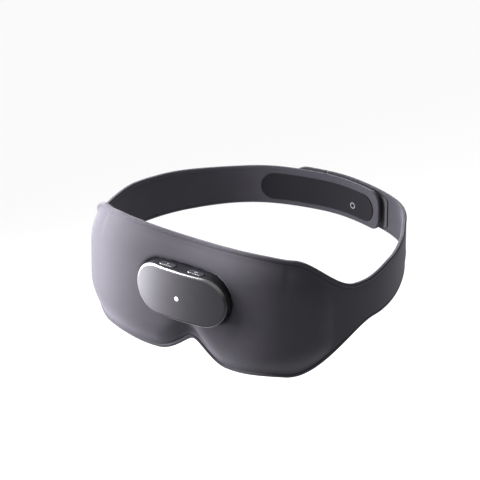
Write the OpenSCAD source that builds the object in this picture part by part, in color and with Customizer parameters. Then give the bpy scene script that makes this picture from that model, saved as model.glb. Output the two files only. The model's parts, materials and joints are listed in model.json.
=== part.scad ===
// Eye massager mask: a soft fabric mask with a pump and heater module on the
// front, worn round the head on two straps that close with hook and loop.
// Origin: centre of the head loop at strap mid-height. +Z up, the front faces -Y,
// +X is the wearer's left. Millimetres.

/* [Head loop] */
// Length round the outside of the closed loop
loop_len = 600; // [570:5:630]
// Half height of the strap at the back of the head
strap_half = 13.5; // [11:0.5:15]
// Thickness of the strap and of the pressed edge of the mask
strap_t = 2.6; // [2.2:0.1:3]
// How far the wearer's left strap runs past the back centre, over the other one
left_past = 35; // [28:1:37]
// How far the wearer's right strap runs past the back centre, under the other one
right_past = 40; // [38:1:45]

/* [Mask] */
// Height of the top edge over the nose, above the strap's middle
top_mid = 30.2; // [28:0.2:32]
// Height of the top edge over the eyes
top_eye = 32.8; // [31:0.2:34]
// Depth of the nose notch's apex below the strap's middle
notch_z = 39.8; // [36:0.2:42]
// Depth of the lower lobes below the strap's middle
lobe_z = 53; // [51:0.5:56]
// How far the padded front stands out of the pressed edge
puff = 5.5; // [5:0.1:6.5]
// How far the lining stands in from the pressed edge
liner_puff = 3.5; // [3.3:0.1:4.5]
// Thickness of the cover and of the lining
fabric_t = 1.2; // [1:0.1:1.4]
// Distance of the strap fold line from the front centre, along the mask
fold_s = 112; // [110:1:116]

/* [Eye pads] */
// Distance of each eye from the front centre, along the mask
eye_s = 33; // [31:0.5:34]
// Height of the eyes against the strap's middle
eye_z = -10; // [-12:0.5:-8]
// Rise of the pad's dome
dome = 4; // [3:0.1:4.5]

/* [Module] */
// Width of the module
mod_w = 70; // [70:0.5:72]
// Height of the module
mod_h = 34; // [34:0.5:35]
// Height of the module's middle against the strap's middle
mod_z = -3.5; // [-5:0.5:-2]
// Foremost point of the module's face, in front of the origin
face_y = 98.6; // [98:0.2:99.4]
// Radius of the module's face, seen from above
face_r = 125; // [120:5:140]
// Wall thickness of the module
wall = 1.6; // [1.4:0.1:1.7]
// Distance of each button from the middle
btn_x = 10.9; // [10:0.1:11.5]
// Length of a button
btn_l = 12; // [11:0.2:12.6]
// Width of a button, front to back
btn_w = 4.5; // [4:0.1:4.8]

/* [Hidden] */
$fn = 48;

fabric = "#3b3a3f";
black = "#17171a";

// ---- the loop, seen from above: a rounded oval, walked by its own length ----
k = loop_len / 600;
function rad(a) = k * (89.5 + 37.5 * cos(a) - 2.3 * cos(2 * a) - 6.9 * cos(3 * a)
    - 5.3 * cos(4 * a) - 2.2 * cos(5 * a));
function plan(a) = [rad(a) * sin(a), k * 29.15 - rad(a) * cos(a)];
ANG = [for (a = 0, l = 0; a <= 236; l = l + norm(plan(a + 2) - plan(a)), a = a + 2) [l, a]];
half_len = lookup(180, [for (p = ANG) [p[1], p[0]]]);
function ang(t) = lookup(abs(t), ANG);
function side(t) = t < 0 ? -1 : 1;
function pt(t) = let (p = plan(ang(t))) [side(t) * p[0], p[1]];
// outward unit normal at t
function nrm(t) = let (a = ang(t), d = plan(a + 0.5) - plan(a - 0.5), u = d / norm(d))
    [side(t) * u[1], -u[0]];
function at(t, z, o) = let (p = pt(t), n = nrm(t)) [p[0] + n[0] * o, p[1] + n[1] * o, z];
function dir(t) = let (n = nrm(t)) atan2(n[0], -n[1]);

function ss(u) = let (v = min(1, max(0, u))) v * v * (3 - 2 * v);

// ---- outline of the mask and straps: top and bottom edge at t ----
function top_wide(s) = top_mid + (top_eye - top_mid) * ss(s / 57) - 0.5 * ss((s - 57) / 14);
function top_strap(s) = strap_half - 0.9 + 3.5 * ss((s - 122) / 32) * (1 - ss((s - 176) / 60))
    + 0.9 * ss((s - 200) / 60);
function top(t) = let (s = abs(t), u = ss((s - 74) / 42)) top_wide(s) * (1 - u) + top_strap(s) * u;
function notch(s) = (norm([s, 3]) - 3) / (norm([27, 3]) - 3);
function bot_wide(s) = s < 27 ? -notch_z - (lobe_z - notch_z) * sin(90 * notch(s))
    : -lobe_z + 4 * ss((s - 30) / 44);
function bot(t) = let (s = abs(t), u = ss((s - 69) / 63)) bot_wide(s) * (1 - u)
    + (-strap_half - 2 * (1 - ss((s - 132) / 60))) * u;

// ---- the padded area: distance inside its edge, and how far it puffs ----
cor_s = 71; cor_r = 28.7; cor_top = -1; cor_bot = -20; edge_in = 4.5;
function corner(s, z) = s <= cor_s ? 99
    : z > cor_top ? cor_r - norm([s - cor_s, z - cor_top])
    : z < cor_bot ? cor_r - norm([s - cor_s, z - cor_bot])
    : cor_r - (s - cor_s);
function inset(t, z) = min(corner(abs(t), z), top(t) - edge_in - z, z - bot(t) - edge_in);
function ease(u) = let (v = min(1, max(0, u))) 1 - (1 - v) * (1 - v);
function outer_o(t, z) = puff * ease(inset(t, z) / 16);
function liner_o(t, z) = -strap_t - liner_puff * ease(inset(t, z) / 12);
// z limits of a layer that stays g inside the padded area's edge
function hi(t, g) = let (s = abs(t)) min(top(t) - edge_in - g,
    s > cor_s ? cor_top + sqrt(max(0, pow(cor_r - g, 2) - pow(s - cor_s, 2))) : 99);
function lo(t, g) = let (s = abs(t)) max(bot(t) + edge_in + g,
    s > cor_s ? cor_bot - sqrt(max(0, pow(cor_r - g, 2) - pow(s - cor_s, 2))) : -99);

// the dome over an eye
function bulge(s, z) = dome * max(0, 1 - pow((s - eye_s) / 24, 2) - pow((z - eye_z) / 22, 2));

// ---- solids made from these functions ----
// a sheet from t0 to t1: fl and fh are its z limits, fi and fo its two faces
module sheet(t0, t1, nt, nz, fl, fh, fi, fo) {
    M = (nt + 1) * (nz + 1);
    T = [for (i = [0:nt]) t0 + (t1 - t0) * i / nt];
    Z = [for (i = [0:nt]) [for (j = [0:nz]) fl(T[i]) + (fh(T[i]) - fl(T[i])) * j / nz]];
    pts = concat([for (i = [0:nt], j = [0:nz]) at(T[i], Z[i][j], fo(T[i], Z[i][j]))],
        [for (i = [0:nt], j = [0:nz]) at(T[i], Z[i][j], fi(T[i], Z[i][j]))]);
    q = function (i, j) i * (nz + 1) + j;
    faces = concat(
        [for (i = [0:nt - 1], j = [0:nz - 1], h = [0, 1]) h == 0
            ? [q(i, j), q(i, j + 1), q(i + 1, j + 1)] : [q(i, j), q(i + 1, j + 1), q(i + 1, j)]],
        [for (i = [0:nt - 1], j = [0:nz - 1], h = [0, 1]) h == 0
            ? [M + q(i, j), M + q(i + 1, j + 1), M + q(i, j + 1)]
            : [M + q(i, j), M + q(i + 1, j), M + q(i + 1, j + 1)]],
        [for (i = [0:nt - 1], h = [0, 1]) h == 0 ? [q(i, 0), q(i + 1, 0), M + q(i + 1, 0)]
            : [q(i, 0), M + q(i + 1, 0), M + q(i, 0)]],
        [for (i = [0:nt - 1], h = [0, 1]) h == 0 ? [q(i + 1, nz), q(i, nz), M + q(i, nz)]
            : [q(i + 1, nz), M + q(i, nz), M + q(i + 1, nz)]],
        [for (j = [0:nz - 1], h = [0, 1]) h == 0 ? [q(0, j + 1), q(0, j), M + q(0, j)]
            : [q(0, j + 1), M + q(0, j), M + q(0, j + 1)]],
        [for (j = [0:nz - 1], h = [0, 1]) h == 0 ? [q(nt, j), q(nt, j + 1), M + q(nt, j + 1)]
            : [q(nt, j), M + q(nt, j + 1), M + q(nt, j)]]);
    polyhedron(pts, faces, convexity = 6);
}

// an oval disc over the eye, a by b in half size, between the faces fi and fo
module oval_pad(a, b, fi, fo, nr = 4, np = 28) {
    M = 1 + nr * np;
    S = concat([[eye_s, eye_z]], [for (i = [1:nr], m = [0:np - 1])
        [eye_s + a * i / nr * cos(360 * m / np), eye_z + b * i / nr * sin(360 * m / np)]]);
    pts = concat([for (p = S) at(p[0], p[1], fo(p[0], p[1]))],
        [for (p = S) at(p[0], p[1], fi(p[0], p[1]))]);
    q = function (i, m) 1 + (i - 1) * np + (m % np);
    faces = concat(
        [for (m = [0:np - 1]) [0, q(1, m + 1), q(1, m)]],
        [for (m = [0:np - 1]) [M, M + q(1, m), M + q(1, m + 1)]],
        [for (i = [1:nr - 1], m = [0:np - 1], h = [0, 1]) h == 0
            ? [q(i, m), q(i, m + 1), q(i + 1, m + 1)] : [q(i, m), q(i + 1, m + 1), q(i + 1, m)]],
        [for (i = [1:nr - 1], m = [0:np - 1], h = [0, 1]) h == 0
            ? [M + q(i, m), M + q(i + 1, m + 1), M + q(i, m + 1)]
            : [M + q(i, m), M + q(i + 1, m), M + q(i + 1, m + 1)]],
        [for (m = [0:np - 1], h = [0, 1]) h == 0 ? [q(nr, m), q(nr, m + 1), M + q(nr, m + 1)]
            : [q(nr, m), M + q(nr, m + 1), M + q(nr, m)]]);
    polyhedron(pts, faces, convexity = 4);
}

// a round tube of radius r swept along the points P
module tube(P, r, n = 8) {
    L = len(P) - 1;
    tan_ = [for (i = [0:L]) let (d = P[min(L, i + 1)] - P[max(0, i - 1)]) d / norm(d)];
    ring = [for (i = [0:L]) let (sd = cross(tan_[i], [0.02, 0.05, 1]), u = sd / norm(sd),
        w = cross(u, tan_[i])) for (m = [0:n - 1])
        P[i] + r * (u * cos(360 * m / n) + w * sin(360 * m / n))];
    q = function (i, m) i * n + (m % n);
    polyhedron(ring, concat([[for (m = [0:n - 1]) m]], [[for (m = [n - 1:-1:0]) L * n + m]],
        [for (i = [0:L - 1], m = [0:n - 1], h = [0, 1]) h == 0
            ? [q(i, m), q(i + 1, m), q(i + 1, m + 1)] : [q(i, m), q(i + 1, m + 1), q(i, m + 1)]]));
}

module mirror_x(on) { if (on) mirror([1, 0, 0]) children(); else children(); }

// ---- module helpers: local z is counted from the module's middle ----
module pill(w, h) { square([w - h, h], center = true);
    for (x = [-1, 1]) translate([x * (w - h) / 2, 0]) circle(d = h); }
module along_y(y0, y1) { translate([0, y1, 0]) rotate([90, 0, 0]) linear_extrude(height = y1 - y0) children(); }
module face_cyl(d) { translate([0, face_r - face_y, 0]) cylinder(r = face_r - d, h = 60, center = true, $fn = 200); }
module in_module() { translate([0, 0, mod_z]) children(); }
SCREWS = [[-31.2, 0], [31.2, 0], [-14, -13.2], [14, -13.2]];
btn_y = -92.5;
port_y = -90.37;
hose_y = -86.2;
hose_z = 11.2;
nozzle = [26, 9];

// ---- soft parts of the mask ----
module outer_cover() color(fabric) difference() {
    sheet(-fold_s, fold_s, 56, 12, function (t) bot(t), function (t) top(t),
        function (t, z) outer_o(t, z) - fabric_t, function (t, z) outer_o(t, z));
    in_module() along_y(-95, -78) pill(mod_w + 0.4, mod_h + 0.4);
}
module inner_liner() color("#49474d") difference() {
    sheet(-fold_s, fold_s, 56, 12, function (t) bot(t), function (t) top(t),
        function (t, z) liner_o(t, z), function (t, z) liner_o(t, z) + fabric_t);
    for (m = [0, 1]) mirror_x(m) translate(at(eye_s, eye_z, 0)) rotate([0, 0, dir(eye_s)])
        along_y(-2, 20) polygon([for (a = [0:10:350]) [24 * cos(a), 22 * sin(a)]]);
}
module support_frame() color("#d8d8d2") difference() {
    sheet(-91, 91, 36, 6, function (t) lo(t, 8), function (t) hi(t, 8),
        function (t, z) -1.3, function (t, z) -0.5);
    for (m = [-1, 1]) {
        translate([m * SCREWS[1][0], -81, mod_z]) rotate([90, 0, 0]) cylinder(r = 2.4, h = 12, center = true);
        translate([m * nozzle[0], -81, mod_z + nozzle[1]]) rotate([90, 0, 0]) cylinder(r = 2, h = 12, center = true);
        translate(at(m * 60, eye_z, 0)) rotate([90, 0, dir(m * 60)]) cylinder(r = 2.5, h = 12, center = true);
    }
}
module foam() color("#e8e2d0")
    sheet(46, 90, 12, 6, function (t) lo(t, 8.5), function (t) hi(t, 8.5),
        function (t, z) 1.9, function (t, z) outer_o(t, z) - fabric_t - 0.3);
module left_foam() foam();
module right_foam() mirror([1, 0, 0]) foam();

// ---- module shells ----
module front_cover() color("#77777b") in_module() difference() {
    intersection() { along_y(-100, -90) pill(mod_w, mod_h); face_cyl(0); }
    face_cyl(2.4);
    intersection() { along_y(-101, -89) pill(mod_w - 2 * wall, mod_h - 2 * wall); face_cyl(wall); }
    translate([0, -96, -1.5]) rotate([90, 0, 0]) cylinder(r = 1.55, h = 12, center = true);
}
module btn_slot(x, g, z0, z1) { translate([x, btn_y, z0]) linear_extrude(height = z1 - z0)
    pill(btn_l + 2 * g, btn_w + 2 * g); }
module mid_housing() color(black) in_module() difference() {
    union() {
        difference() {
            intersection() { along_y(-100, -84) pill(mod_w, mod_h); face_cyl(2.45); }
            along_y(-101, -83) pill(mod_w - 2 * wall, mod_h - 2 * wall);
        }
        for (p = SCREWS) translate([p[0], 0, p[1]]) along_y(-91.9, -85.4) circle(r = 2.3);
    }
    for (p = SCREWS) translate([p[0], 0, p[1]]) along_y(-90.4, -83) circle(r = 0.8);
    for (x = [-1, 1]) btn_slot(x * btn_x, 0.15, 12, 20);
    translate([0, port_y, -20]) linear_extrude(height = 6) pill(9.3, 3.6);
}
module rear_housing() color("#2a2a2d") in_module() difference() {
    union() {
        along_y(-83.9, -82.7) pill(mod_w + 5, mod_h + 5);
        along_y(-85.3, -83.9) difference() {
            pill(mod_w - 2 * wall - 0.2, mod_h - 2 * wall - 0.2);
            pill(mod_w - 2 * wall - 2.2, mod_h - 2 * wall - 2.2);
        }
    }
    for (p = SCREWS) translate([p[0], 0, p[1]]) along_y(-86, -82) circle(r = 1.1);
    for (p = SCREWS) translate([p[0], 0, p[1]]) along_y(-85.4, -83.95) circle(r = 2.5);
    // hose holes, and slots that the heater leads run out through
    for (m = [-1, 1]) {
        translate([m * 25.7, 0, 9.3]) along_y(-86, -82) circle(r = 2.2);
        along_y(-86, -82) hull() {
            translate([m * 25.5, -9]) circle(r = 1.1);
            translate([m * 39, -9.5]) circle(r = 1.1);
        }
    }
}
module clamp_ring() color("#54545a") in_module() along_y(-84.6, -84) difference() {
    pill(mod_w + 3.6, mod_h + 3.6);
    pill(mod_w + 0.6, mod_h + 0.6);
}
module status_light() color("#e8edf0") in_module() translate([0, -98.5, -1.5]) rotate([-90, 0, 0]) {
    cylinder(r = 1.5, h = 2.4);
    translate([0, 0, 2.4]) cylinder(r = 1, h = 2.1);
}

// ---- module internals ----
module main_board() color("#1f5b3a") in_module() {
    along_y(-93, -92) difference() {
        pill(58, 25);
        translate([8.2, -13]) square([11.4, 22.2]);
        for (x = [-14]) translate([x, -13.2]) circle(r = 2.5);
    }
    translate([-18, -92, -3]) cube([6, 0.9, 6]);
    translate([-6, -92, -2]) cube([4, 1.1, 4]);
    translate([22, -92, -10]) cube([5, 0.5, 2]);
    translate([-27, -92, -10]) cube([5, 0.5, 2]);
    translate([-0.8, -93.6, -2.3]) cube([1.6, 0.6, 1.6]);
}
module side_switch(x) color("#c9c9cc") in_module() {
    translate([x - 3, -91.95, 9]) cube([6, 1.7, 2.7]);
    translate([x - 1.3, -91.6, 11.7]) cube([2.6, 1.1, 0.9]);
}
module power_switch() side_switch(btn_x);
module mode_switch() side_switch(-btn_x);
module usb_port() color("#b9bcc0") in_module() translate([0, port_y, 0]) {
    difference() {
        translate([0, 0, -16.6]) linear_extrude(height = 7.6) pill(8.94, 3.2);
        translate([0, 0, -17]) linear_extrude(height = 6.6) pill(8.34, 2.56);
    }
    translate([-3.35, -0.35, -15.6]) cube([6.7, 0.7, 5.4]);
}
module battery() color("#9fb4c8") in_module() translate([-23, -88.45, -10.6]) cube([30, 4, 19.8]);
module battery_tape() color("#f2f2ee") in_module() translate([-22, -84.4, -9.6]) cube([28, 0.45, 17.8]);
pump_x = 13.6; pump_y = -89.2;
module pump_motor() color("#b5b8bb") in_module() translate([pump_x, pump_y, -10.5]) difference() {
    cylinder(r = 5, h = 12);
    translate([0, 0, 1]) cylinder(r = 0.55, h = 12);
}
module pump_head() color("#2f3236") in_module() translate([pump_x, pump_y, 1.5]) difference() {
    union() {
        translate([-5.3, -5, 0]) cube([10.6, 10, 7.4]);
        translate([0, 2.8, 7.4]) cylinder(r = 0.9, h = 0.8);
    }
    translate([0, 0, 1.2]) cylinder(r = 4.2, h = 4.8);
    translate([0, 0, -1]) cylinder(r = 0.8, h = 3);
    translate([0, 2.8, 5]) cylinder(r = 0.5, h = 4);
}
module pump_shaft() color("#d4c48a") in_module() translate([pump_x, pump_y, -9.3]) {
    cylinder(r = 0.5, h = 15.8);
    translate([0.9, 0, 12.4]) cylinder(r = 2.4, h = 2.6);
}
module tee_fitting() color("#e9e9e4") in_module() translate([pump_x, hose_y, hose_z]) difference() {
    union() {
        rotate([0, 90, 0]) cylinder(r = 1.3, h = 10.8, center = true);
        translate([0, 0, -1.5]) cylinder(r = 0.85, h = 1.5);
    }
    rotate([0, 90, 0]) cylinder(r = 0.6, h = 12, center = true);
}
valve = [23.4, -88];
module valve_body() color("#8a8d91") in_module() translate([valve[0], valve[1], 0]) difference() {
    union() {
        translate([-3.3, -3.7, -4]) cube([6.6, 7.4, 12]);
        translate([0, 1.8, 8]) cylinder(r = 0.9, h = 1.2);
    }
    translate([0, 0, -2.8]) cylinder(r = 1.6, h = 9.4);
    translate([0, 1.8, 7]) cylinder(r = 0.45, h = 3);
}
module valve_plunger() color("#d9dadb") in_module() translate([valve[0], valve[1], -0.9])
    cylinder(r = 1.55, h = 7.3);
module valve_spring() color("#cfd2d6") in_module() translate([valve[0], valve[1], -2.75]) difference() {
    cylinder(r = 1.4, h = 1.8);
    translate([0, 0, -1]) cylinder(r = 1.0, h = 4);
}
module module_screws() color("#a6a8ab") in_module() for (p = SCREWS)
    translate([p[0], 0, p[1]]) {
        along_y(-82.65, -81.75) circle(r = 1.9);
        along_y(-89.6, -82.65) circle(r = 0.78);
    }

// hoses: out of the tee, back through the rear housing and the frame to the airbag
function hose_end(m) = [[m * 21.4, hose_y, mod_z + hose_z], [m * 23.6, -85.7, mod_z + 10.7],
    [m * 25.2, -84.6, mod_z + 9.8], [m * 26, -83.3, mod_z + 9], [m * 26, -82, mod_z + 9]];
module left_air_tube() color("#dfe3e4") tube(concat([[19.1, hose_y, mod_z + hose_z]], hose_end(1)), 1.3);
module right_air_tube() color("#dfe3e4") tube(concat([[8.1, hose_y, mod_z + hose_z],
    [-8, hose_y, mod_z + hose_z]], hose_end(-1)), 1.3);
// heater leads: out of the module, outwards in front of the frame, then through it
module lead() color("#a33b32") tube([[25.5, -91.4, mod_z - 9], [25.5, -88, mod_z - 9],
    [25.5, -85, mod_z - 9], [25.9, -83.6, mod_z - 9], at(28.5, -12.7, 0.5), at(33, -12.9, 0.5), at(37, -13, 0.5), at(41, -13, 0.6),
    at(48, -12.6, 0.7), at(55, -11.6, 0.6), at(59, -10.4, 0.1), at(60, -10, -0.9), at(59.6, -10, -2.6),
    at(58, -10, -4)], 0.7);
module left_wire() lead();
module right_wire() mirror([1, 0, 0]) lead();

// ---- eye pads ----
module airbag() color("#c9d3d6") union() {
    oval_pad(22, 20, function (t, z) -2.4 - bulge(t, z), function (t, z) -1.6);
    translate([nozzle[0], -79.6, mod_z + nozzle[1]]) rotate([90, 0, 0]) cylinder(r = 1.3, h = 2.35);
}
module left_airbag() airbag();
module right_airbag() mirror([1, 0, 0]) airbag();
module massage_pad() color("#6e7f86")
    oval_pad(19, 17, function (t, z) -3.9 - bulge(t, z), function (t, z) -2.7 - bulge(t, z));
module left_massage_pad() massage_pad();
module right_massage_pad() mirror([1, 0, 0]) massage_pad();
module heater() color("#c4762f")
    oval_pad(22, 20, function (t, z) -4.4 - bulge(t, z), function (t, z) -4.1 - bulge(t, z));
module left_heater() heater();
module right_heater() mirror([1, 0, 0]) heater();
module heat_sensor() color("#1a1a1a") translate(at(eye_s + 20.4, eye_z, -4.95)) rotate([90, 0, dir(eye_s + 20.4)])
    cylinder(r = 0.9, h = 0.8);
module left_heat_sensor() heat_sensor();
module right_heat_sensor() mirror([1, 0, 0]) heat_sensor();
module eye_liner() color("#55525a")
    oval_pad(23.4, 21.4, function (t, z) -5.9 - bulge(t, z), function (t, z) -4.7 - bulge(t, z));
module left_eye_liner() eye_liner();
module right_eye_liner() mirror([1, 0, 0]) eye_liner();

// ---- buttons ----
module button(x) color("#2b2b2e") in_module() {
    btn_slot(x, 0, 13.2, 17.6);
    btn_slot(x, 0.7, 13.7, 15.0);
}
module power_button() button(btn_x);
module mode_button() button(-btn_x);

// ---- straps ----
// the outer strap lifts clear of the inner one before the overlap
function lift(t) = (2.2 + strap_t) * ss((t - 205) / 42);
// corner of radius r at a strap's end t1: what is taken off the half height at t
function nip(t, t1, r) = t1 - t >= r ? 0 : r - sqrt(max(0, r * r - pow(r - (t1 - t), 2)));
l_end = half_len + left_past;
r_end = half_len + right_past;
tab_t = l_end - 16;
module left_strap() color(fabric)
    sheet(fold_s + 0.3, tab_t - 0.3, 44, 3, function (t) bot(t), function (t) top(t),
        function (t, z) lift(t) - strap_t, function (t, z) lift(t));
module peel_tab() color(fabric)
    sheet(tab_t, l_end - 0.2, 12, 3, function (t) bot(t) + nip(t, l_end, 10), function (t) top(t) - nip(t, l_end, 10),
        function (t, z) lift(t) - strap_t, function (t, z) lift(t));
module right_strap() color(fabric) mirror([1, 0, 0])
    sheet(fold_s + 0.3, r_end - 0.1, 60, 3, function (t) bot(t) + nip(t, r_end, 8.5),
        function (t) top(t) - nip(t, r_end, 8.5), function (t, z) -strap_t, function (t, z) 0);
patch_h = 10.5;
module hook_patch() color("#202023")
    sheet(half_len - 44, tab_t - 1, 20, 1, function (t) -patch_h, function (t) patch_h,
        function (t, z) 1.35, function (t, z) 2.15);
module loop_patch() color("#2a292d") mirror([1, 0, 0])
    sheet(half_len - 36, r_end - 5, 22, 1, function (t) -patch_h, function (t) patch_h,
        function (t, z) 0.05, function (t, z) 1);
label_h = 9.2;
module label_pad() color("#312f36") mirror([1, 0, 0])
    sheet(half_len - 55, half_len + 34, 30, 2,
        function (t) -0.5 - sqrt(max(0.5, pow(label_h, 2) - pow(max(0, abs(t - half_len + 10.5) - 44.5 + label_h), 2))),
        function (t) -0.5 + sqrt(max(0.5, pow(label_h, 2) - pow(max(0, abs(t - half_len + 10.5) - 44.5 + label_h), 2))),
        function (t, z) -strap_t - 0.55, function (t, z) -strap_t - 0.05);

outer_cover();
inner_liner();
support_frame();
left_foam();
right_foam();
front_cover();
mid_housing();
rear_housing();
clamp_ring();
status_light();
main_board();
power_switch();
mode_switch();
usb_port();
battery();
battery_tape();
pump_motor();
pump_head();
pump_shaft();
tee_fitting();
valve_body();
valve_plunger();
valve_spring();
module_screws();
left_air_tube();
right_air_tube();
left_wire();
right_wire();
left_airbag();
right_airbag();
left_massage_pad();
right_massage_pad();
left_heater();
right_heater();
left_heat_sensor();
right_heat_sensor();
left_eye_liner();
right_eye_liner();
power_button();
mode_button();
left_strap();
right_strap();
hook_patch();
loop_patch();
label_pad();
peel_tab();
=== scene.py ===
import bpy, bmesh, json, math
import numpy as np
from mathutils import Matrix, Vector


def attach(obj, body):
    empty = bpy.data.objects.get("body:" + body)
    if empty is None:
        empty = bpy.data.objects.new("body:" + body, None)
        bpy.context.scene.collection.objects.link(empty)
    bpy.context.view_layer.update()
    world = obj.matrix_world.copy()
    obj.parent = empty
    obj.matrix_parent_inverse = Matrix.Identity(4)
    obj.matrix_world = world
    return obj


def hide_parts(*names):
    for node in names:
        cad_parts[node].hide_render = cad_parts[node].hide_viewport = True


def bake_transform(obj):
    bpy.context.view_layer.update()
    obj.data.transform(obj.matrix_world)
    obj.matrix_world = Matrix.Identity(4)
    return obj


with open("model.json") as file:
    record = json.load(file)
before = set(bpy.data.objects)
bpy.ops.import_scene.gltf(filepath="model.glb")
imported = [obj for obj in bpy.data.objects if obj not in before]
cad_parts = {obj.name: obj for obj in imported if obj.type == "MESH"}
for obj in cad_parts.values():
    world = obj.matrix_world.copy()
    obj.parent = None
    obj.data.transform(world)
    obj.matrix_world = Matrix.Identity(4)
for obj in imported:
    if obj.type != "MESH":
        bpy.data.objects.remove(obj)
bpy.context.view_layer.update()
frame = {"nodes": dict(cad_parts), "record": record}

MM = 0.001
ZM = -3.5                                   # the module's middle, mm above the strap's middle

# ------------------------------------------------------------------ the loop and the mask's outline, mm
PUFF, LPUFF, ST, DOME, EYE_S, EYE_Z = 5.5, 3.5, 2.6, 4.0, 33.0, -10.0
TOP_MID, TOP_EYE, NOTCH, LOBE, HALF = 30.2, 32.8, 39.8, 53.0, 13.5


def rad(a):
    return 89.5 + 37.5 * np.cos(a) - 2.3 * np.cos(2 * a) - 6.9 * np.cos(3 * a) - 5.3 * np.cos(4 * a) - 2.2 * np.cos(5 * a)


_A = np.radians(np.arange(-2, 238.01, 0.25))
_X, _Y = rad(_A) * np.sin(_A), 29.15 - rad(_A) * np.cos(_A)
_L = np.concatenate([[0], np.cumsum(np.hypot(np.diff(_X), np.diff(_Y)))])
_L -= np.interp(0, _A, _L)
_TX, _TY = np.gradient(_X), np.gradient(_Y)
_TL = np.hypot(_TX, _TY)
_NX, _NY = _TY / _TL, -_TX / _TL
BACK = float(np.interp(math.pi, _A, _L))    # arc length to the back centre


def at(t, z, o):
    """Point at arc length t, height z, distance o outside the mask's pressed edge."""
    t, z, o = np.broadcast_arrays(np.asarray(t, float), np.asarray(z, float), np.asarray(o, float))
    s, a = np.where(t < 0, -1.0, 1.0), np.abs(t)
    x, y = np.interp(a, _L, _X), np.interp(a, _L, _Y)
    nx, ny = np.interp(a, _L, _NX), np.interp(a, _L, _NY)
    return np.stack([s * (x + nx * o), y + ny * o, z], -1)


def ss(u):
    v = np.clip(u, 0, 1)
    return v * v * (3 - 2 * v)


def top(t):
    s = np.abs(t)
    wide = TOP_MID + (TOP_EYE - TOP_MID) * ss(s / 57) - 0.5 * ss((s - 57) / 14)
    strap = HALF - 0.9 + 3.5 * ss((s - 122) / 32) * (1 - ss((s - 176) / 60)) + 0.9 * ss((s - 200) / 60)
    u = ss((s - 74) / 42)
    return wide * (1 - u) + strap * u


def bot(t):
    s = np.abs(t)
    n = (np.hypot(s, 3) - 3) / (math.hypot(27, 3) - 3)
    wide = np.where(s < 27, -NOTCH - (LOBE - NOTCH) * np.sin(np.pi / 2 * np.clip(n, 0, 1)), -LOBE + 4 * ss((s - 30) / 44))
    u = ss((s - 69) / 63)
    return wide * (1 - u) + (-HALF - 2 * (1 - ss((s - 132) / 60))) * u


def inset(t, z, k=1.6):
    """Distance inside the padded area's edge, with soft corners."""
    s = np.abs(t)
    cs, cr, ct, cb, e = 71, 28.7, -1, -20, 4.5
    dz = np.where(z > ct, z - ct, np.where(z < cb, z - cb, 0))
    c = cr - np.hypot(np.maximum(s - cs, 0), dz)
    c = np.where(s < cs - 12, 99, c + np.clip((cs - s) / 12, 0, 1) ** 2 * 60)
    a = np.stack([c, top(t) - e - z, z - bot(t) - e])
    m = a.min(0)
    return m - k * np.log(np.exp(-(a - m) / k).sum(0))


def ease(u):
    v = np.clip(u, 0, 1)
    return 1 - (1 - v) ** 2


def soft(x, c=1.3):
    return (x + np.sqrt(x * x + c * c)) / 2


def pill_dist(x, z, w=70.0, h=34.0):
    """Distance outside the module's outline."""
    return np.hypot(np.maximum(np.abs(x) - (w - h) / 2, 0), z - ZM) - h / 2


def outer_o(t, z):
    i = inset(t, z)
    o = PUFF * ease(soft(i) / 16)
    # the nose bridge is drawn in a little below the module
    o = o - 1.6 * np.exp(-(t / 11.0) ** 2) * ss((-16 - z) / 14) * ss(i / 4)
    # pressed line round the module, and the pocket that it sits in
    d = pill_dist(t, z)
    o = o - 0.7 * np.exp(-((d - 0.2) / 1.1) ** 2)
    return o + (-0.4 - o) * ss((0.2 - d) / 1.6)


def bulge(s, z):
    return DOME * np.maximum(0, 1 - ((s - EYE_S) / 24) ** 2 - ((z - EYE_Z) / 22) ** 2)


def inner_o(t, z):
    i = inset(t, z)
    o = -ST - LPUFF * ease(soft(i) / 12)
    r = np.hypot((np.abs(t) - EYE_S) / 24.4, (z - EYE_Z) / 22.4)
    o = o - 0.9 * np.exp(-((r - 1.16) / 0.10) ** 2)          # soft roll round each eye pad
    return o + (-1.5 - o) * ss((1.05 - r) / 0.15)


# ------------------------------------------------------------------ mesh helpers
def make(name, verts, faces, mat, smooth=True, coords=None, mats=None, auto=None):
    me = bpy.data.meshes.new(name)
    me.from_pydata([tuple(v) for v in np.asarray(verts) * MM], [], [tuple(f) for f in faces])
    me.validate()
    if coords is not None:
        a = me.attributes.new("cloth_uv", "FLOAT_VECTOR", "POINT")
        a.data.foreach_set("vector", np.asarray(coords, np.float32).ravel())
    ob = bpy.data.objects.new(name, me)
    bpy.context.scene.collection.objects.link(ob)
    for m in ([mat] if not isinstance(mat, (list, tuple)) else mat):
        me.materials.append(m)
    if mats is not None:
        me.polygons.foreach_set("material_index", np.asarray(mats, np.int32))
    if smooth:
        me.polygons.foreach_set("use_smooth", np.ones(len(me.polygons), bool))
        if auto:
            bm = bmesh.new(); bm.from_mesh(me)
            for e in bm.edges:
                if len(e.link_faces) == 2 and e.calc_face_angle(0) > math.radians(auto):
                    e.smooth = False
            bm.to_mesh(me); bm.free()
    me.update()
    return ob


def tidy(ob, dist=1e-6):
    bm = bmesh.new(); bm.from_mesh(ob.data)
    bmesh.ops.remove_doubles(bm, verts=bm.verts, dist=dist)
    bmesh.ops.dissolve_degenerate(bm, edges=bm.edges, dist=1e-8)
    bmesh.ops.recalc_face_normals(bm, faces=bm.faces)
    bm.to_mesh(ob.data); bm.free()
    ob.data.update()
    return ob


def grid_faces(n, m, wrap=True, flip=False):
    """Faces of n rings of m points each."""
    f = []
    for i in range(n - 1):
        for j in range(m if wrap else m - 1):
            k = (j + 1) % m
            q = (i * m + j, i * m + k, (i + 1) * m + k, (i + 1) * m + j)
            f.append(q[::-1] if flip else q)
    return f


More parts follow.
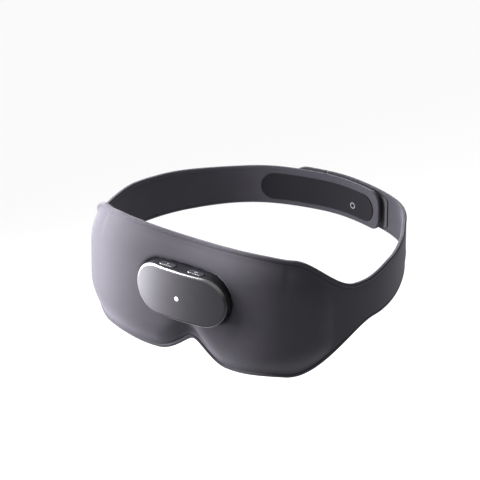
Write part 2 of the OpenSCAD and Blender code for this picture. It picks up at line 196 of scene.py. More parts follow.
# ---- a padded ribbon: closed cross-sections along t, with a rolled edge
BEAD = np.array([0.0, 0.06, 0.22, 0.5, 0.85, 1.2, 1.5, 1.85, 2.2, 2.5, 2.8, 3.2, 3.8])


def edge_profile(d, groove):
    """Half thickness beyond the flat, and the pressed line inside the rolled edge; d is measured from the very edge."""
    r = 1.5
    bead = np.where(d < r, np.sqrt(np.maximum(0, r * r - (r - d) ** 2)) - 1.3, 0.2 * (1 - ss((d - r) / 1.3)))
    return bead - groove * np.exp(-((d - 2.7) / 0.42) ** 2)


def ribbon(name, T, fo, fi, ftop, fbot, mat, nmid=46, sign=1, end_round=(False, False), groove=lambda t: 0.4, mats=None):
    """A closed ribbon along T. fo and fi give the outer and inner face at (t, z). ftop and fbot are its edges."""
    dt = 0.05
    rows, cuv, fm = [], [], []
    for t in T:
        zt, zb = float(ftop(t)), float(fbot(t))
        kt = math.hypot(1, float(ftop(t + dt) - ftop(t - dt)) / (2 * dt)) if t + dt < T[-1] else 1
        kb = math.hypot(1, float(fbot(t + dt) - fbot(t - dt)) / (2 * dt)) if t + dt < T[-1] else 1
        kt, kb = min(kt, 1.8), min(kb, 1.8)
        h = zt - zb
        c = min(1.0, h / (3.8 * (kt + kb) + 1.0))
        dT, dB = BEAD * kt * c, BEAD * kb * c
        mid = np.linspace(zb + dB[-1], zt - dT[-1], nmid + 2)[1:-1]
        z = np.concatenate([zb + dB, mid, (zt - dT)[::-1]])
        d = np.minimum((z - zb) / kb, (zt - z) / kt) / max(c, 0.35)
        e = edge_profile(d, groove(t))
        tt = np.full_like(z, t)
        o = fo(tt, z) + np.where(d < 4.0, e, 0)
        i = fi(tt, z) - np.where(d < 4.0, e, 0)
        m = (fo(tt, z) + fi(tt, z)) / 2
        if end_round[1] and T[-1] - t < 1.4:
            f = math.sqrt(max(0, 1 - (1 - (T[-1] - t) / 1.4) ** 2))
            o, i = m + (o - m) * f, m + (i - m) * f
        if end_round[0] and t - T[0] < 1.4:
            f = math.sqrt(max(0, 1 - (1 - (t - T[0]) / 1.4) ** 2))
            o, i = m + (o - m) * f, m + (i - m) * f
        # both faces meet at the mid plane on the very edge, and that line is drawn in a little
        o[0] = i[0] = m[0]; o[-1] = i[-1] = m[-1]
        zo, zi = z.copy(), z[::-1].copy()
        for arr, off in ((zo, o - m), (zi, (i - m)[::-1])):
            w = 0.28 * np.exp(-(off / 0.32) ** 2)
            arr[:5] += w[:5] * (1 if arr is zo else -1)
            arr[-5:] -= w[-5:] * (1 if arr is zo else -1)
        ring_t = np.concatenate([tt, tt[1:-1]])
        ring_z = np.concatenate([zo, zi[1:-1]])
        ring_o = np.concatenate([o, i[::-1][1:-1]])
        rows.append(at(ring_t * sign, ring_z, ring_o))
        cuv.append(np.stack([ring_t, ring_z, np.concatenate([np.zeros(len(z)), np.full(len(z) - 2, 40.0)])], -1))
    n, m_ = len(T), len(rows[0])
    V = np.concatenate(rows)
    F = grid_faces(n, m_, True, sign > 0)
    nz = len(z)
    MI = []
    for i in range(n - 1):
        for j in range(m_):
            MI.append(0 if j < nz - 1 else 1)
    caps = [list(range(m_)), list(range((n - 1) * m_, n * m_))]
    for k, cpt in enumerate(caps):                    # fan each end shut
        c0 = len(V)
        V = np.vstack([V, V[cpt].mean(0)])
        cuv.append(np.array([[T[0] if k == 0 else T[-1], 0, 0]]))
        for j in range(m_):
            a, b = cpt[j], cpt[(j + 1) % m_]
            F.append((a, b, c0) if (k == 0) == (sign > 0) else (b, a, c0))
            MI.append(0)
    ob = make(name, V, F, mat, coords=np.concatenate(cuv), mats=MI if isinstance(mat, (list, tuple)) else None)
    bm = bmesh.new(); bm.from_mesh(ob.data)
    bmesh.ops.recalc_face_normals(bm, faces=bm.faces)
    bm.to_mesh(ob.data); bm.free()
    return ob


# ------------------------------------------------------------------ materials
def nodes(name):
    m = bpy.data.materials.new(name)
    m.use_nodes = True
    nt = m.node_tree
    b = nt.nodes["Principled BSDF"]
    return m, nt, b


def N(nt, kind, **kw):
    n = nt.nodes.new(kind)
    for k, v in kw.items():
        if k in n.inputs:
            n.inputs[k].default_value = v
        else:
            setattr(n, k, v)
    return n


def ramp(nt, fac, stops):
    r = nt.nodes.new("ShaderNodeValToRGB")
    r.color_ramp.elements[0].position, r.color_ramp.elements[0].color = stops[0][0], (*stops[0][1], 1)
    r.color_ramp.elements[1].position, r.color_ramp.elements[1].color = stops[-1][0], (*stops[-1][1], 1)
    for p, c in stops[1:-1]:
        r.color_ramp.elements.new(p).color = (*c, 1)
    nt.links.new(fac, r.inputs["Fac"])
    return r.outputs["Color"]


def mathn(nt, op, a, b=None, c=None):
    n = nt.nodes.new("ShaderNodeMath"); n.operation = op
    for k, v in enumerate((a, b, c)):
        if v is None:
            continue
        if isinstance(v, (int, float)):
            n.inputs[k].default_value = v
        else:
            nt.links.new(v, n.inputs[k])
    return n.outputs[0]


def cloth(name, dark, light, sheen=0.35, rough=0.78, pitch=0.62, bump=0.35, tint=(0.75, 0.73, 0.85), spec=0.3):
    """Fine knitted cloth: rows of small loops laid along the surface, with soft colour and roughness variation."""
    m, nt, b = nodes(name)
    a = N(nt, "ShaderNodeAttribute", attribute_name="cloth_uv", attribute_type="GEOMETRY")
    sep = nt.nodes.new("ShaderNodeSeparateXYZ"); nt.links.new(a.outputs["Vector"], sep.inputs[0])
    k = 2 * math.pi / pitch
    u, v = mathn(nt, "MULTIPLY", sep.outputs[0], k), mathn(nt, "MULTIPLY", sep.outputs[1], k * 1.25)
    row = mathn(nt, "SINE", v)
    shift = mathn(nt, "MULTIPLY", mathn(nt, "ABSOLUTE", row), 0.9)
    col = mathn(nt, "SINE", mathn(nt, "ADD", u, shift))
    loop = mathn(nt, "MULTIPLY", mathn(nt, "ADD", col, 1.0), mathn(nt, "ADD", mathn(nt, "MULTIPLY", row, 0.35), 0.65))
    fuzz = N(nt, "ShaderNodeTexNoise", Scale=5.0, Detail=3.0, Roughness=0.6)
    nt.links.new(a.outputs["Vector"], fuzz.inputs["Vector"])
    broad = N(nt, "ShaderNodeTexNoise", Scale=0.07, Detail=3.0, Roughness=0.5)
    nt.links.new(a.outputs["Vector"], broad.inputs["Vector"])
    h = mathn(nt, "ADD", mathn(nt, "MULTIPLY", loop, 0.5), mathn(nt, "MULTIPLY", fuzz.outputs["Fac"], 0.8))
    mixf = mathn(nt, "ADD", mathn(nt, "MULTIPLY", loop, 0.22), mathn(nt, "ADD", mathn(nt, "MULTIPLY", broad.outputs["Fac"], 0.3),
                                                                   mathn(nt, "MULTIPLY", fuzz.outputs["Fac"], 0.25)))
    nt.links.new(ramp(nt, mixf, [(0.1, dark), (0.85, light)]), b.inputs["Base Color"])
    nt.links.new(mathn(nt, "ADD", mathn(nt, "MULTIPLY", fuzz.outputs["Fac"], 0.14), rough - 0.07), b.inputs["Roughness"])
    bp = N(nt, "ShaderNodeBump", Strength=bump, Distance=0.00012)
    nt.links.new(h, bp.inputs["Height"]); nt.links.new(bp.outputs[0], b.inputs["Normal"])
    b.inputs["Sheen Weight"].default_value = sheen
    b.inputs["Sheen Roughness"].default_value = 0.45
    b.inputs["Sheen Tint"].default_value = (*tint, 1)
    b.inputs["Specular IOR Level"].default_value = spec
    return m


def hard(name, base, rough=0.4, metal=0.0, vary=0.15, grain=400.0, bump=0.05, coat=0.0, spec=0.5, stretch=(1, 1, 1), dist=0.00005, alpha=1.0, trans=0.0):
    """Moulded, painted or metal surface with fine grain, faint mottling and a changing roughness."""
    m, nt, b = nodes(name)
    tc = nt.nodes.new("ShaderNodeTexCoord")
    mp = nt.nodes.new("ShaderNodeMapping"); mp.inputs["Scale"].default_value = stretch
    nt.links.new(tc.outputs["Object"], mp.inputs["Vector"])
    g = N(nt, "ShaderNodeTexNoise", Scale=grain, Detail=4.0, Roughness=0.6)
    w = N(nt, "ShaderNodeTexNoise", Scale=grain / 14, Detail=3.0, Roughness=0.5)
    for n in (g, w):
        nt.links.new(mp.outputs["Vector"], n.inputs["Vector"])
    f = mathn(nt, "ADD", mathn(nt, "MULTIPLY", g.outputs["Fac"], 0.5), mathn(nt, "MULTIPLY", w.outputs["Fac"], 0.5))
    lo_, hi_ = [max(0, c * (1 - vary)) for c in base], [min(1, c * (1 + vary)) for c in base]
    nt.links.new(ramp(nt, f, [(0.3, lo_), (0.7, hi_)]), b.inputs["Base Color"])
    nt.links.new(mathn(nt, "ADD", mathn(nt, "MULTIPLY", f, 0.16), rough - 0.08), b.inputs["Roughness"])
    bp = N(nt, "ShaderNodeBump", Strength=bump, Distance=dist)
    nt.links.new(g.outputs["Fac"], bp.inputs["Height"]); nt.links.new(bp.outputs[0], b.inputs["Normal"])
    b.inputs["Metallic"].default_value = metal
    b.inputs["Specular IOR Level"].default_value = spec
    b.inputs["Coat Weight"].default_value = coat
    b.inputs["Coat Roughness"].default_value = 0.08
    b.inputs["Alpha"].default_value = alpha
    b.inputs["Transmission Weight"].default_value = trans
    return m


COVER = cloth("cover_cloth", (0.0112, 0.0106, 0.0132), (0.0190, 0.0180, 0.0222), sheen=0.085, rough=0.74, spec=0.10)
LINING = cloth("lining_cloth", (0.0105, 0.0100, 0.0125), (0.0220, 0.0210, 0.0262), sheen=0.07, rough=0.85, pitch=0.8, bump=0.5, spec=0.15)
LOOP = cloth("loop_pile", (0.008, 0.008, 0.010), (0.03, 0.029, 0.034), sheen=0.12, rough=0.95, pitch=1.1, bump=1.0)
HOOK = cloth("hook_tape_cloth", (0.006, 0.006, 0.007), (0.02, 0.02, 0.022), sheen=0.04, rough=0.68, pitch=1.3, bump=1.0, spec=0.22)
THREAD = cloth("stitch_thread", (0.03, 0.029, 0.034), (0.06, 0.058, 0.066), sheen=0.2, rough=0.6, pitch=0.3)
FACE = hard("module_face_metal", (0.0210, 0.0207, 0.0238), rough=0.52, metal=0.7, vary=0.06, grain=2600, bump=0.10, dist=0.00002)
BEVEL = hard("module_bevel_metal", (0.13, 0.13, 0.133), rough=0.28, metal=1.0, vary=0.05, grain=2600, bump=0.04, dist=0.00001)
_t = BEVEL.node_tree                                    # painted highlight along the top, painted shade below
_g, _s = _t.nodes.new("ShaderNodeTexCoord"), _t.nodes.new("ShaderNodeSeparateXYZ")
_t.links.new(_g.outputs["Object"], _s.inputs[0])
# painted shade low down and painted highlight high up: the base colour is dark below 1.5 mm height and blends into the
# lighter metal colour by 10.5 mm
_painted_light_ramp = N(_t, "ShaderNodeMapRange", interpolation_type="SMOOTHSTEP")
for _k, _v in zip(("From Min", "From Max", "To Min", "To Max"), (0.0015, 0.0105, 0.0, 1.0)):
    _painted_light_ramp.inputs[_k].default_value = _v
_t.links.new(_s.outputs[2], _painted_light_ramp.inputs["Value"])
_painted_light_mix = N(_t, "ShaderNodeMix", data_type="RGBA")
_old = _t.nodes["Principled BSDF"].inputs["Base Color"].links[0].from_socket
_painted_light_mix.inputs["A"].default_value = (0.02, 0.02, 0.021, 1)
_painted_light_mix.inputs[6].default_value = (0.02, 0.02, 0.021, 1)
_t.links.new(_painted_light_ramp.outputs[0], _painted_light_mix.inputs[0])
_t.links.new(_old, _painted_light_mix.inputs[7])
_t.links.new(_painted_light_mix.outputs[2], _t.nodes["Principled BSDF"].inputs["Base Color"])
BLACK = hard("module_gloss_black", (0.0045, 0.0045, 0.0055), rough=0.24, vary=0.3, grain=900, bump=0.03, coat=0.12, spec=0.35, dist=0.00002)
BUTTON = hard("button_satin_black", (0.014, 0.014, 0.016), rough=0.26, vary=0.2, grain=1500, bump=0.06, coat=0.2, dist=0.00002)
LABEL = hard("label_film_satin", (0.0044, 0.0042, 0.0054), rough=0.80, spec=0.06, vary=0.12, grain=700, bump=0.12, dist=0.00004)
MARK = hard("printed_mark_grey", (0.20, 0.20, 0.215), rough=0.6, vary=0.1, grain=2000, bump=0.05)
LABEL_MARK = hard("label_mark_grey", (0.062, 0.062, 0.068), rough=0.6, vary=0.1, grain=2000, bump=0.05)
LIGHT = hard("status_light_lens", (0.82, 0.84, 0.86), rough=0.25, vary=0.03, grain=1200, bump=0.02, coat=0.5)
_b = LIGHT.node_tree.nodes["Principled BSDF"]
_b.inputs["Emission Color"].default_value = (0.92, 0.95, 1, 1)
_b.inputs["Emission Strength"].default_value = 0.55

# ------------------------------------------------------------------ soft pieces
SEAM_R = -104.0                  # where the wearer's right strap starts, on the mask side of its fold
L_END, R_END = BACK + 35, BACK + 40
TAB_T = L_END - 16
SPLIT = TAB_T - 8


def lift(t):
    return (2.2 + ST) * ss((t - 205) / 42)


def nip(t, t1, r):
    return r - np.sqrt(np.maximum(0, r * r - np.maximum(0, r - (t1 - t)) ** 2)) if np.ndim(t) else (
        0.0 if t1 - t >= r else r - math.sqrt(max(0, r * r - (r - (t1 - t)) ** 2)))


def groove(t):
    return 0.58 * (1 - 0.75 * float(ss((abs(t) - 96) / 20)))


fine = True
step = 1.1 if fine else 2.2
T1 = np.concatenate([np.arange(SEAM_R, 124, step), np.arange(124, SPLIT - 1, 2.4), [SPLIT]])
skin = ribbon("mask_cover_and_left_strap", T1,
              lambda t, z: np.where(np.abs(t) < 118, outer_o(t, z), 0) + np.where(t > 150, lift(t), 0),
              lambda t, z: np.where(np.abs(t) < 118, inner_o(t, z), -ST) + np.where(t > 150, lift(t), 0),
              top, bot, [COVER, LINING], nmid=64 if fine else 34, groove=groove)
s0, s1 = at(84, 0, -1.3) * MM, at(140, 0, -1.3) * MM
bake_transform(skin)
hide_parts("outer_cover", "inner_liner", "left_strap")


def end_T(t0, t1, st):
    tail = t1 - np.array([8.5, 7.4, 6.3, 5.3, 4.4, 3.6, 2.9, 2.3, 1.8, 1.4, 1.1, 0.85, 0.62, 0.42, 0.26, 0.14, 0.05, 0.0])
    return np.concatenate([np.arange(t0, t1 - 9, st), tail])


T2 = end_T(-SEAM_R, R_END - 0.1, 1.8)
strap_r = ribbon("right_strap_skin", T2, lambda t, z: np.where(np.abs(t) < 118, outer_o(t, z), 0),
                 lambda t, z: np.where(np.abs(t) < 118, inner_o(t, z), -ST),
                 lambda t: top(t) - nip(t, R_END - 0.1, 8.5), lambda t: bot(t) + nip(t, R_END - 0.1, 8.5),
                 [COVER, LINING], nmid=30, sign=-1, end_round=(False, True), groove=groove)
m0, m1 = at(-104, 0, -1.3) * MM, at(-142, 0, -1.3) * MM
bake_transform(strap_r)
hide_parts("right_strap")

T3 = end_T(SPLIT, L_END - 0.2, 1.4)
tab = ribbon("peel_tab_skin", T3, lambda t, z: lift(t), lambda t, z: lift(t) - ST,
             lambda t: top(t) - nip(t, L_END - 0.2, 10), lambda t: bot(t) + nip(t, L_END - 0.2, 10),
             [COVER, LINING], nmid=30, end_round=(False, True), groove=groove)
p0, p1 = at(TAB_T - 4, 0, 3.5) * MM, at(TAB_T + 4, 0, 3.5) * MM
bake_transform(tab)
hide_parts("peel_tab")


# ---- eye cushions on the lining
def cushion(name, sgn, nodes_):
    a, b, nr, np_ = 24.2, 22.2, 26, 96
    prof = []                                    # (radius share, offset inwards, follows dome)
    for r in np.linspace(0, 0.93, nr):
        prof.append((r, 5.9 + bulge(EYE_S + r * 24, EYE_Z)))
    e = prof[-1][1]
    for k in np.linspace(0.15, 1, 8):            # rounded shoulder
        an = k * math.pi / 2
        prof.append((0.93 + 0.07 * math.sin(an), e - 2.2 * (1 - math.cos(an))))
    prof += [(1.0, e - 3.0), (0.985, e - 3.6), (0.9, e - 3.8)]
    V, C, F = [], [], []
    for k, (r, o) in enumerate(prof):
        for j in range(np_):
            an = 2 * math.pi * j / np_
            ds, dz = a * r * math.cos(an), b * r * math.sin(an)
            o2 = o
            if k < nr:                           # low massage nubs in a ring, and one soft pressed ring
                o2 += 0.75 * sum(math.exp(-(((ds - 13.5 * math.cos(q)) ** 2 + (dz - 12.2 * math.sin(q)) ** 2) / 5.5))
                                 for q in np.arange(0, 2 * math.pi, math.pi / 4))
                o2 -= 0.35 * math.exp(-((r - 0.84) / 0.03) ** 2)
            V.append(at(sgn * (EYE_S + ds), EYE_Z + dz, -o2)); C.append((EYE_S + ds, EYE_Z + dz, 20))
    F = grid_faces(len(prof), np_, True, sgn < 0)
    F.append(tuple(range((len(prof) - 1) * np_, len(prof) * np_)))
    ob = tidy(make(name, V, F, LINING, coords=C), 1e-7)
    ax = at(sgn * EYE_S, EYE_Z, 0), at(sgn * EYE_S, EYE_Z, -1)
    base = at(sgn * EYE_S, EYE_Z, 0)
    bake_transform(ob)
    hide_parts(*nodes_)
    return ob


cushion("left_eye_cushion", 1, ["left_eye_liner"])
cushion("right_eye_cushion", -1, ["right_eye_liner"])


# ---- thin patches on the straps: rounded rectangles with a bound edge
def patch(name, t0, t1, half, fo, thick, mat, body, node, corner, sign=1, z0=0.0, rim=0.0, flip=1, n=(90, 14)):
    """A thin plate lying on a strap. fo(t) is the offset of the face on the strap; flip is +1 outwards or -1 inwards."""
    L, H = (t1 - t0) / 2, half
    cx = (t0 + t1) / 2
    rings, C = [], []
    per = []
    nt_, nc = n
    # outline, counter-clockwise: straight runs and quarter circles
    def outline(e):
        r = max(0.05, corner - e)
        l, h = L - e, H - e
        pts = []
        for k in range(nt_):
            pts.append((-(l - r) + 2 * (l - r) * k / nt_, -h))
        for k in range(nc):
            an = -math.pi / 2 + math.pi / 2 * k / nc
            pts.append((l - r + r * math.cos(an), -(h - r) + r * math.sin(an)))
        for k in range(6):
            pts.append((l, -(h - r) + 2 * (h - r) * k / 6))
        for k in range(nc):
            an = math.pi / 2 * k / nc
            pts.append((l - r + r * math.cos(an), h - r + r * math.sin(an)))
        for k in range(nt_):
            pts.append((l - r - 2 * (l - r) * k / nt_, h))
        for k in range(nc):
            an = math.pi / 2 + math.pi / 2 * k / nc
            pts.append((-(l - r) + r * math.cos(an), h - r + r * math.sin(an)))
        for k in range(6):
            pts.append((-l, h - r - 2 * (h - r) * k / 6))
        for k in range(nc):
            an = math.pi + math.pi / 2 * k / nc
            pts.append((-(l - r) + r * math.cos(an), -(h - r) + r * math.sin(an)))
        return np.array(pts)
    e_max = min(H, corner if corner >= H - 0.01 else H) - 0.02
    prof = [(0.0, 0.0), (0.0, thick * 0.55), (thick * 0.22, thick * 0.9), (thick * 0.55, thick + rim), (0.9, thick + rim),
            (1.25, thick + rim * 0.3), (1.6, thick)] + [(e, thick) for e in np.linspace(2.2, max(2.6, min(e_max, corner - 0.1)), 5)]
    for e, d in prof:
        q = outline(min(e, H - 0.05))
        t = cx + q[:, 0]
        rings.append(at(sign * t, z0 + q[:, 1], fo(t) + flip * d))
        C.append(np.stack([t, q[:, 1], np.zeros(len(q))], -1))
    m_ = len(rings[0])
    V, C = np.concatenate(rings), np.concatenate(C)
    F = grid_faces(len(rings), m_, True)
    # close the middle with quads between the two long runs, and the back with the same
    def close(base, rev):
        lower = [base + k for k in range(0, nt_)]
        upper = [base + nt_ + nc + 6 + nc + k for k in range(0, nt_)][::-1]
        out = []
        for k in range(nt_ - 1):
            out.append((lower[k], lower[k + 1], upper[k + 1], upper[k]))
        right = [base + k for k in range(nt_ - 1, nt_ + nc + 6 + nc + 1)]
        left = [base + (k % m_) for k in range(nt_ + nc + 6 + nc + nt_ - 1, m_ + 1)]
        out.append(tuple(right)); out.append(tuple(left))
        return [f[::-1] if rev else f for f in out]
    F += close((len(rings) - 1) * m_, False) + close(0, True)
    ob = tidy(make(name, V, F, mat, coords=C, auto=50), 1e-7)
    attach(ob, body)
    if node:
        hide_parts(node)
    return ob


hook = patch("hook_patch_tape", BACK - 44, TAB_T - 1, 10.5, lambda t: lift(t) - ST - 0.05, 0.8, HOOK, "left_strap", "hook_patch", 3.0, flip=-1)
loop = patch("loop_patch_pile", BACK - 36, R_END - 5, 10.5, lambda t: t * 0 + 0.05, 0.95, LOOP, "right_strap", "loop_patch", 3.0, sign=-1)
label = patch("inner_label_pad", BACK - 55, BACK + 34, 9.2, lambda t: t * 0 - ST - 0.02, 0.5, LABEL, "right_strap", "label_pad", 9.19, sign=-1,
              z0=-0.5, rim=0.12, flip=-1)

# ------------------------------------------------------------------ the module
FY, FR = 98.6, 125.0


def pill_ring(e, w=70.0, h=34.0, ns=60, na=44):
    """Points round the pill outline, drawn in by e, counter-clockwise seen from the front."""
    r, l = h / 2 - e, (w - h) / 2
    p = []
    for k in range(ns):
        p.append((-l + 2 * l * k / ns, -r))
    for k in range(na):
        an = -math.pi / 2 + math.pi * k / na
        p.append((l + r * math.cos(an), r * math.sin(an)))
    for k in range(ns):
        p.append((l - 2 * l * k / ns, r))
    for k in range(na):
        an = math.pi / 2 + math.pi * k / na
        p.append((-l + r * math.cos(an), r * math.sin(an)))
    return np.array(p)


def yf(x, d=0.0):
    return FR - FY - np.sqrt((FR - d) ** 2 - x * x)


def pill_loft(name, prof, mat, mats=None, w=70.0, h=34.0, z0=ZM, closed=True):
    """prof: (inset, depth behind the face's curve or None, absolute y or None)."""
    rings = []
    for e, d, y in prof:
        q = pill_ring(e, w, h)
        yy = yf(q[:, 0], 0) + d if y is None else np.full(len(q), float(y))
        rings.append(np.stack([q[:, 0], yy, z0 + q[:, 1]], -1))
    m_ = len(rings[0])
    V = np.concatenate(rings)
    F = grid_faces(len(rings), m_, True)
    if closed:
        F += [tuple(j + (k * m_) for j in range(m_)) for k in []]
        F += grid_faces(2, m_, True) and [((len(rings) - 1) * m_ + j, (len(rings) - 1) * m_ + (j + 1) % m_, (j + 1) % m_, j) for j in range(m_)]
    mi = None
    if mats:
        mi = []
        for i in range(len(rings) - 1):
            mi += [mats[i]] * m_
        if closed:
            mi += [mats[-1]] * m_
    return tidy(make(name, V, F, mat, mats=mi, auto=38), 1e-7)


# face plate: flat rim, polished bevel, curved satin face
bev = [(0.0, 2.35), (0.0, 1.45), (0.03, 1.22), (0.14, 0.95), (0.34, 0.62), (0.62, 0.34), (0.92, 0.15), (1.2, 0.05), (1.5, 0.0)]
prof = [(e, d, None) for e, d in bev] + [(e, 0.0, None) for e in (1.9, 2.6, 4, 6, 8.5, 11, 13.5, 15.5, 17.0)]
inner = [(17.0, 1.6, None), (12, 1.6, None), (6, 1.6, None), (1.7, 1.6, None), (1.6, 1.8, None), (1.6, 2.35, None)]
plate = pill_loft("module_face_plate", prof + inner, [FACE, BEVEL, BLACK],
                  mats=[2] * 1 + [1] * 7 + [0] * 9 + [2] * 10)
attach(plate, "mask"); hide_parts("front_cover")

# side band, with slots for the buttons and the charging port
band = pill_loft("module_side_band", [(0.10, 2.42, None), (0.0, 2.62, None), (0.0, 3.4, None), (0.0, None, -88.5), (0.0, None, -84.3), (0.3, None, -84.0),
                                      (1.6, None, -84.0), (1.6, 2.6, None), (1.45, 2.42, None)], [BLACK])


def stadium(l, w, z0, z1, cx, cy, n=20, grow=0.0):
    r, a = w / 2 + grow, (l - w) / 2
    p = [(a + r * math.cos(t), r * math.sin(t)) for t in np.linspace(-math.pi / 2, math.pi / 2, n)] + \
        [(-a + r * math.cos(t), r * math.sin(t)) for t in np.linspace(math.pi / 2, 3 * math.pi / 2, n)]
    m_ = len(p)
    V = [(cx + x, cy + y, z) for z in (z0, z1) for x, y in p]
    F = [tuple(range(m_))[::-1], tuple(range(m_, 2 * m_))] + [(j, (j + 1) % m_, m_ + (j + 1) % m_, m_ + j) for j in range(m_)]
    return V, F


def cut(ob, cutters):
    for V, F in cutters:
        c = make("cutter", V, F, BLACK, smooth=False)
        tidy(c, 1e-8)
        md = ob.modifiers.new("cut", "BOOLEAN"); md.operation = "DIFFERENCE"; md.object = c; md.solver = "EXACT"
        dg = bpy.context.evaluated_depsgraph_get()
        me = bpy.data.meshes.new_from_object(ob.evaluated_get(dg))
        ob.modifiers.clear()
        old = ob.data; ob.data = me
        bpy.data.meshes.remove(old); bpy.data.objects.remove(c)
    bm = bmesh.new(); bm.from_mesh(ob.data)
    for e in bm.edges:
        e.smooth = not (len(e.link_faces) == 2 and e.calc_face_angle(0) > math.radians(35))
    for f in bm.faces:
        f.smooth = True
    bm.to_mesh(ob.data); bm.free()


BX, BY, BL, BW, PY = 10.9, -92.5, 12.0, 4.5, -90.37
cut(band, [stadium(BL, BW, ZM + 10, ZM + 22, sx * BX, BY, grow=0.15) for sx in (-1, 1)] + [stadium(9.3, 3.6, ZM - 22, ZM - 12, 0, PY)])
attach(band, "mask"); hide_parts("mid_housing")


def button(name, x, body, node):
    """Cap with a soft top edge, standing 0.6 mm out of the wall."""
    rings = []
    for g, z in [(0.7, 13.7), (0.7, 15.0), (0.0, 15.02), (0.0, 17.25), (-0.06, 17.42), (-0.2, 17.54), (-0.4, 17.6), (-0.9, 17.62), (-1.7, 17.6), (-2.24, 17.58)]:
        V, _ = stadium(BL + 2 * g, BW + 2 * g, 0, 1, x, BY, n=26)
        rings.append(np.array([(v[0], v[1], ZM + z) for v in V[:len(V) // 2]]))
    m_ = len(rings[0])
    F = grid_faces(len(rings), m_, True) + [tuple(range(m_))[::-1], tuple(range((len(rings) - 1) * m_, len(rings) * m_))]
    ob = tidy(make(name, np.concatenate(rings), F, BUTTON, auto=45), 1e-7)
    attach(ob, body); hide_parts(node)
    return ob


button("power_button_cap", BX, "power_button", "power_button")
button("mode_button_cap", -BX, "mode_button", "mode_button")


def ring_mark(name, cx, cy, cz, r0, r1, h, normal, mat, body, bridge=None, n=48):
    """A small flat ring or disc standing h off a surface, facing normal."""
    rings = []
    for r, d in [(r0, 0), (r0, h), (r1, h), (r1, 0)]:
        rings.append([(r * math.cos(a), r * math.sin(a), d) for a in np.linspace(0, 2 * math.pi, n, endpoint=False)])
    q = Vector(normal).to_track_quat("Z", "Y")
    V = [tuple(Vector((cx, cy, cz)) + q @ Vector(p)) for rg in rings for p in rg]
    F = grid_faces(4, n, True) + [(3 * n + j, 3 * n + (j + 1) % n, (j + 1) % n, j) for j in range(n)]
    ob = tidy(make(name, V, F, mat, auto=40), 1e-8)
    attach(ob, body)
    return ob


# the status light's lens, a hair proud of the face, in a fine dark ring
lens = []
for r, d in [(1.62, 0.25), (1.62, -0.03), (1.55, -0.06), (1.42, -0.05), (1.38, 0.02), (1.3, -0.04), (1.0, -0.11), (0.6, -0.15), (0.05, -0.16)]:
    lens.append([(r * math.cos(a), -FY + d, ZM - 1.5 + r * math.sin(a)) for a in np.linspace(0, 2 * math.pi, 40, endpoint=False)])
V = [p for rg in lens for p in rg]
F = grid_faces(len(lens), 40, True) + [tuple(range(40))[::-1], tuple(range((len(lens) - 1) * 40, len(lens) * 40))]
lens_ob = tidy(make("status_light_lens", V, F, [BLACK, LIGHT], mats=[0] * 160 + [1] * 160 + [0, 1], auto=60), 1e-8)
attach(lens_ob, "mask"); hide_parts("status_light")

# plain ring and dot marks on the buttons
ring_mark("power_button_ring", BX, BY, ZM + 17.58, 0.62, 0.9, 0.06, (0, 0, 1), MARK, "power_button")
ring_mark("mode_button_dot", -BX, BY, ZM + 17.58, 0.05, 0.42, 0.06, (0, 0, 1), MARK, "mode_button")

# the valve's coil spring, built at one fixed length; the real one shortens as the plunger comes down
VX, VY, z_lo, z_hi, turns, n_t, n_w = 23.4, -88.0, ZM - 2.58, ZM - 1.12, 4.5, 150, 8
V, F = [], []
for k in range(n_t):
    f = k / (n_t - 1)
    e = min(f, 1 - f) * turns                              # closed end coils
    zc = z_lo + (z_hi - z_lo) * float(ss((f - 0.06) / 0.88) * 0.35 + 0.65 * np.clip((f - 0.06) / 0.88, 0, 1))
    a0 = 2 * math.pi * turns * f
    for m_ in range(n_w):
        q = 2 * math.pi * m_ / n_w
        rr = 1.2 + 0.14 * math.cos(q)
        V.append((VX + rr * math.cos(a0), VY + rr * math.sin(a0), zc + 0.14 * math.sin(q)))
F = grid_faces(n_t, n_w, True) + [tuple(range(n_w))[::-1], tuple(range((n_t - 1) * n_w, n_t * n_w))]
SPRING = hard("spring_steel_wire", (0.50, 0.51, 0.52), rough=0.28, metal=1.0, grain=900, bump=0.1)
coil = tidy(make("valve_coil_spring", V, F, SPRING), 1e-8)
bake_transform(coil)
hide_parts("valve_spring")

# plain printed ring on the label pad
_p = at(-(BACK + 14.5), -2.6, -ST - 0.50)
_n = at(-(BACK + 14.5), -2.6, -ST - 1.5) - _p
ring_mark("label_ring", _p[0], _p[1], _p[2], 1.5, 2.15, 0.07, tuple(_n), LABEL_MARK, "right_strap")

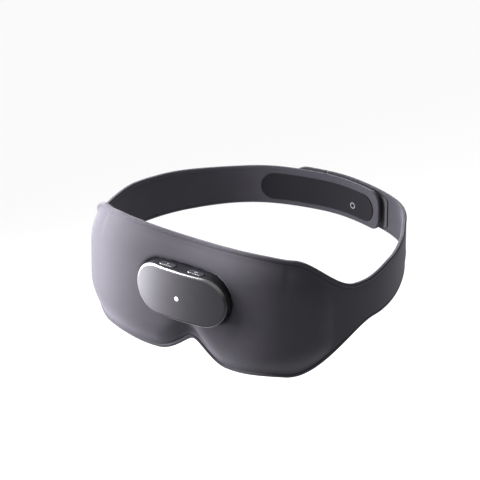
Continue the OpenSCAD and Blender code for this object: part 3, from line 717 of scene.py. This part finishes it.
# ------------------------------------------------------------------ carried-over CAD nodes
SLOT = {
    "frame_plastic": hard("frame_plastic_pp", (0.66, 0.66, 0.62), rough=0.5, grain=700, bump=0.15),
    "foam": hard("open_cell_foam", (0.72, 0.66, 0.52), rough=0.95, grain=1600, bump=0.8, vary=0.25, dist=0.0003),
    "black_plastic": BLACK,
    "grey_plastic": hard("housing_grey_moulded", (0.03, 0.03, 0.034), rough=0.55, grain=1500, bump=0.3),
    "clamp_plastic": hard("clamp_moulded", (0.09, 0.09, 0.1), rough=0.55, grain=1500, bump=0.3),
    "light_guide": LIGHT,
    "board": hard("circuit_board_green", (0.02, 0.10, 0.05), rough=0.35, grain=900, bump=0.2, vary=0.35, coat=0.3),
    "steel": hard("brushed_steel_parts", (0.50, 0.51, 0.52), rough=0.3, metal=1.0, grain=900, bump=0.2, stretch=(1, 1, 12)),
    "cell_wrap": hard("cell_wrap_blue", (0.35, 0.46, 0.58), rough=0.35, grain=300, bump=0.2),
    "tape": hard("foam_tape", (0.85, 0.85, 0.82), rough=0.85, grain=1200, bump=0.4),
    "brass": hard("turned_brass", (0.66, 0.52, 0.25), rough=0.3, metal=1.0, grain=900, bump=0.15, stretch=(1, 1, 10)),
    "white_plastic": hard("fitting_white", (0.8, 0.8, 0.77), rough=0.45, grain=900, bump=0.15),
    "hose": hard("silicone_hose", (0.72, 0.75, 0.76), rough=0.35, grain=600, bump=0.1, trans=0.3),
    "lead_cover": hard("lead_red", (0.38, 0.04, 0.03), rough=0.45, grain=800, bump=0.15),
    "airbag_film": hard("airbag_tpu", (0.58, 0.64, 0.67), rough=0.3, grain=300, bump=0.3, trans=0.3),
    "pad_rubber": hard("pad_silicone", (0.16, 0.21, 0.24), rough=0.6, grain=700, bump=0.2),
    "heater_film": hard("heater_film_copper", (0.50, 0.20, 0.04), rough=0.35, grain=500, bump=0.25, vary=0.3),
    "sensor_bead": hard("sensor_epoxy", (0.01, 0.01, 0.01), rough=0.2, grain=900, bump=0.1),
    "cover_fabric": COVER, "liner_fabric": LINING, "face_metal": FACE, "hook_tape": HOOK, "loop_tape": LOOP, "label_film": LABEL,
}
slot_of = {s["node"]: s["material_slot"] for s in frame["record"]["subparts"]}
for nm, ob in frame["nodes"].items():
    mat = SLOT[slot_of[nm]]
    if ob.material_slots:
        for sl in ob.material_slots:
            sl.link = "OBJECT"
            sl.material = mat

# ------------------------------------------------------------------ stage, light, camera
me = bpy.data.meshes.new("floor")
me.from_pydata([(-8, -8, -0.30), (8, -8, -0.30), (8, 8, -0.30), (-8, 8, -0.30)], [], [(0, 1, 2, 3)])
floor = bpy.data.objects.new("floor", me)
bpy.context.scene.collection.objects.link(floor)
fm, nt, b = nodes("floor_white")
b.inputs["Base Color"].default_value = (0.93, 0.93, 0.93, 1)
b.inputs["Roughness"].default_value = 0.9
b.inputs["Specular IOR Level"].default_value = 0.1
me.materials.append(fm)

world = bpy.data.worlds.new("studio")
bpy.context.scene.world = world
world.use_nodes = True
world.node_tree.nodes["Background"].inputs["Color"].default_value = (1, 1, 1, 1)
world.node_tree.nodes["Background"].inputs["Strength"].default_value = 1.03


def area(name, loc, target, size, power, color=(1, 1, 1), spread=180):
    l = bpy.data.lights.new(name, "AREA")
    l.shape = "RECTANGLE"; l.size, l.size_y = size
    l.energy = power; l.color = color
    l.spread = math.radians(spread)
    o = bpy.data.objects.new(name, l)
    bpy.context.scene.collection.objects.link(o)
    o.location = loc
    o.visible_camera = False
    o.rotation_euler = (Vector(target) - Vector(loc)).to_track_quat("-Z", "Y").to_euler()
    return o


area("left_strip", (-0.20, -0.14, 0.03), (-0.05, -0.09, 0), (0.08, 0.30), 2.6, (0.985, 0.955, 1.0), 120)
area("left_strip_high", (-0.22, -0.20, 0.12), (-0.05, -0.085, 0), (0.10, 0.20), 1.25, (0.985, 0.955, 1.0), 120)
area("left_softbox", (-1.1, 0.75, 0.45), (0, -0.02, 0.03), (0.5, 0.5), 4.5, (0.98, 0.97, 1.0), 40)
area("bevel_strip", (-0.66, -0.56, 0.93), (0, -0.09, 0), (0.28, 0.12), 1.7, (1, 1, 1), 60)

cam = bpy.data.cameras.new("camera")
cam.lens, cam.sensor_width = 300.0, 36.0
cam.clip_start, cam.clip_end = 0.05, 60
co = bpy.data.objects.new("camera", cam)
bpy.context.scene.collection.objects.link(co)
az, el = math.radians(34.48), math.radians(23.26)
r_ = Vector((math.cos(az), math.sin(az), 0))
u_ = Vector((-math.sin(az) * math.sin(el), math.cos(az) * math.sin(el), math.cos(el)))
co.location = (1.3343, -1.9136, 1.0911)
aim = (r_ * -17.28 + u_ * -1.65) * MM
co.rotation_mode = "QUATERNION"
q = (aim - co.location).to_track_quat("-Z", "Y")
from mathutils import Quaternion
co.rotation_quaternion = q @ Quaternion((0, 0, 1), math.radians(0.229))
bpy.context.scene.camera = co
bpy.context.scene.view_settings.view_transform = "Standard"
bpy.context.scene.view_settings.look = "None"
